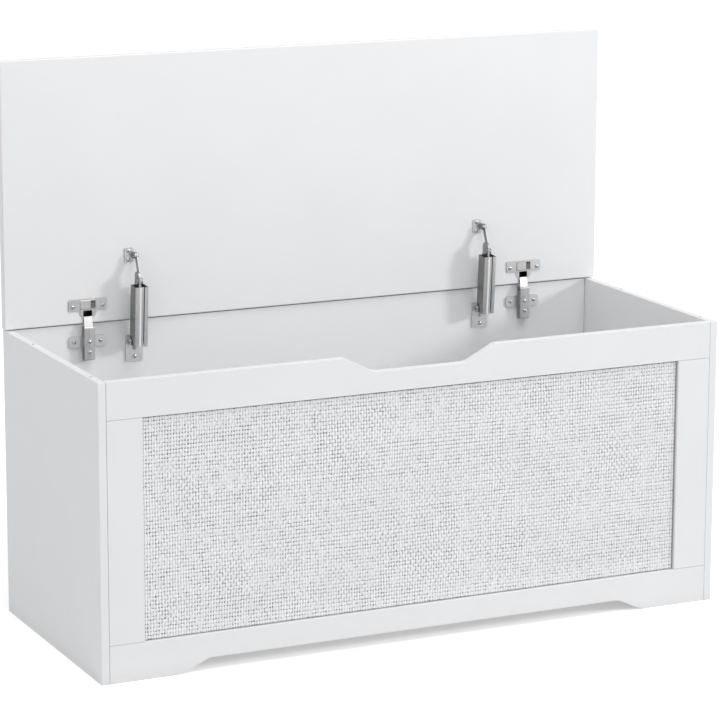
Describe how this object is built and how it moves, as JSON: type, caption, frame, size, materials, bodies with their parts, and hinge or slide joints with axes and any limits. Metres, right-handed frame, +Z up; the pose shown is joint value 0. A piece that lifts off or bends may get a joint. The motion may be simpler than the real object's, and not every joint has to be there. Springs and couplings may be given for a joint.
{
  "type": "storage chest",
  "caption": "Long white board chest with a framed woven front, a finger scoop, an arched base and a flat lid on cup hinges and folding stays.",
  "frame": {"origin": "centre of the box's footprint on the floor", "axes": "+X to the right seen from the front, along the long side; +Y to the back; +Z up; the lid stands open at a right angle at rest"},
  "size_m": [1, 0.394, 0.8369],
  "materials": {
    "board": "satin white foil on board",
    "weave": "white woven strip",
    "nickel": "bright nickel plate",
    "steel": "zinc-plated steel",
    "zinc": "die-cast connector metal",
    "dowel_wood": "bare beech",
    "bumper": "soft translucent pad",
    "washer": "dark friction washer"
  },
  "bodies": {
    "box": {"side_panel_left": "board", "side_panel_right": "board", "back_panel": "board", "bottom_panel": "board", "front_top_rail": "board", "front_base_rail": "board", "front_stile_left": "board", "front_stile_right": "board", "front_backing_board": "board", "front_insert_board": "board", "woven_panel": "weave", "cam_bolts": "steel", "cam_discs": "zinc", "dowels": "dowel_wood", "frame_screws": "steel", "rear_screws": "steel", "rim_bumpers": "bumper", "hinge_link_left": "nickel", "hinge_link_right": "nickel", "hinge_arm_left": "nickel", "hinge_arm_right": "nickel", "hinge_arm_pins": "nickel", "hinge_plate_left": "nickel", "hinge_plate_right": "nickel", "hinge_plate_screws": "nickel", "hinge_arm_screws": "nickel", "stay_base_bracket_left": "nickel", "stay_base_bracket_right": "nickel", "stay_base_pins": "nickel", "stay_washers": "washer", "stay_base_screws": "nickel"},
    "lid": {"lid_panel": "board", "hinge_cup_left": "nickel", "hinge_cup_right": "nickel", "hinge_pins": "nickel", "hinge_cup_screws": "nickel", "stay_lid_bracket_left": "nickel", "stay_lid_bracket_right": "nickel", "stay_lid_pins": "nickel", "stay_lid_screws": "nickel"},
    "stay_housing_left": {"stay_housing_left": "nickel", "stay_tongue_left": "nickel", "stay_rivets_left": "nickel"},
    "stay_arm_left": {"stay_arm_left": "nickel"},
    "stay_housing_right": {"stay_housing_right": "nickel", "stay_tongue_right": "nickel", "stay_rivets_right": "nickel"},
    "stay_arm_right": {"stay_arm_right": "nickel"}
  },
  "joints": [
    {"name": "lid_hinge", "type": "hinge", "parent": "box", "child": "lid", "pos_m": [0, 0.1859, 0.4421], "axis": [1, 0, 0], "range_deg": [0, 90]},
    {"name": "stay_pivot_left", "type": "hinge", "parent": "box", "child": "stay_housing_left", "pos_m": [-0.294, 0.1709, 0.4056], "axis": [1, 0, 0], "range_deg": [0, 90]},
    {"name": "stay_lid_pivot_left", "type": "hinge", "parent": "lid", "child": "stay_arm_left", "pos_m": [-0.294, 0.171, 0.5355], "axis": [1, 0, 0], "range_deg": [-90, 0]},
    {"name": "stay_pivot_right", "type": "hinge", "parent": "box", "child": "stay_housing_right", "pos_m": [0.294, 0.1709, 0.4056], "axis": [1, 0, 0], "range_deg": [0, 90]},
    {"name": "stay_lid_pivot_right", "type": "hinge", "parent": "lid", "child": "stay_arm_right", "pos_m": [0.294, 0.171, 0.5355], "axis": [1, 0, 0], "range_deg": [-90, 0]}
  ],
  "couplings": [
    {"joint": "stay_pivot_left", "follows": "lid_hinge", "ratio": 1},
    {"joint": "stay_lid_pivot_left", "follows": "lid_hinge", "ratio": -1},
    {"joint": "stay_pivot_right", "follows": "lid_hinge", "ratio": 1},
    {"joint": "stay_lid_pivot_right", "follows": "lid_hinge", "ratio": -1}
  ]
}
